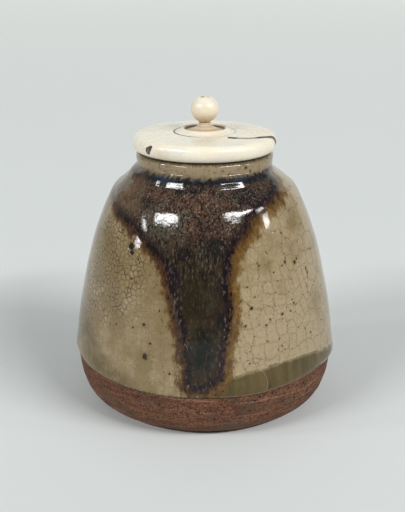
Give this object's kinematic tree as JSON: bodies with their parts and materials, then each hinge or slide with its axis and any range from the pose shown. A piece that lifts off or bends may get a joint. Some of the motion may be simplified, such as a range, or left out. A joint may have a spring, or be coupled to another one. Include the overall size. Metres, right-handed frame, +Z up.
{
  "type": "lidded tea jar",
  "caption": "Small thrown stoneware tea jar with an ash glaze, a dark iron glaze run, a bare clay foot, and a lift-off ivory-coloured lid with a stemmed bead knob.",
  "frame": {"origin": "middle of the foot, on the jar's axis, where it stands", "axes": "+Z up along the jar's axis; -Y is the front, with the iron glaze run; +X is to the right seen from the front"},
  "size_m": [0.0726, 0.0733, 0.0847],
  "materials": {
    "clay": "unglazed fired stoneware, reddish brown, gritty",
    "ash_glaze": "glossy crackled ash glaze, grey beige to olive",
    "iron_glaze": "glossy iron glaze, dark brown to blue grey with amber edges",
    "lid_ivory": "turned and polished ivory colour",
    "knob_ivory": "turned and polished ivory colour, a little darker",
    "gold_leaf": "paper covered with gold leaf"
  },
  "bodies": {
    "jar": {"clay_body": "clay", "ash_glaze_coat": "ash_glaze", "iron_glaze_run": "iron_glaze"},
    "lid": {"lid_ring": "lid_ivory", "lid_centre_plug": "lid_ivory", "knob_bead": "knob_ivory", "knob_peg": "knob_ivory", "gold_leaf_lining": "gold_leaf"}
  },
  "joints": [
    {"name": "lid_lift", "type": "slide", "parent": "jar", "child": "lid", "axis": [0, 0, 1], "range_m": [0, 0.05]}
  ]
}
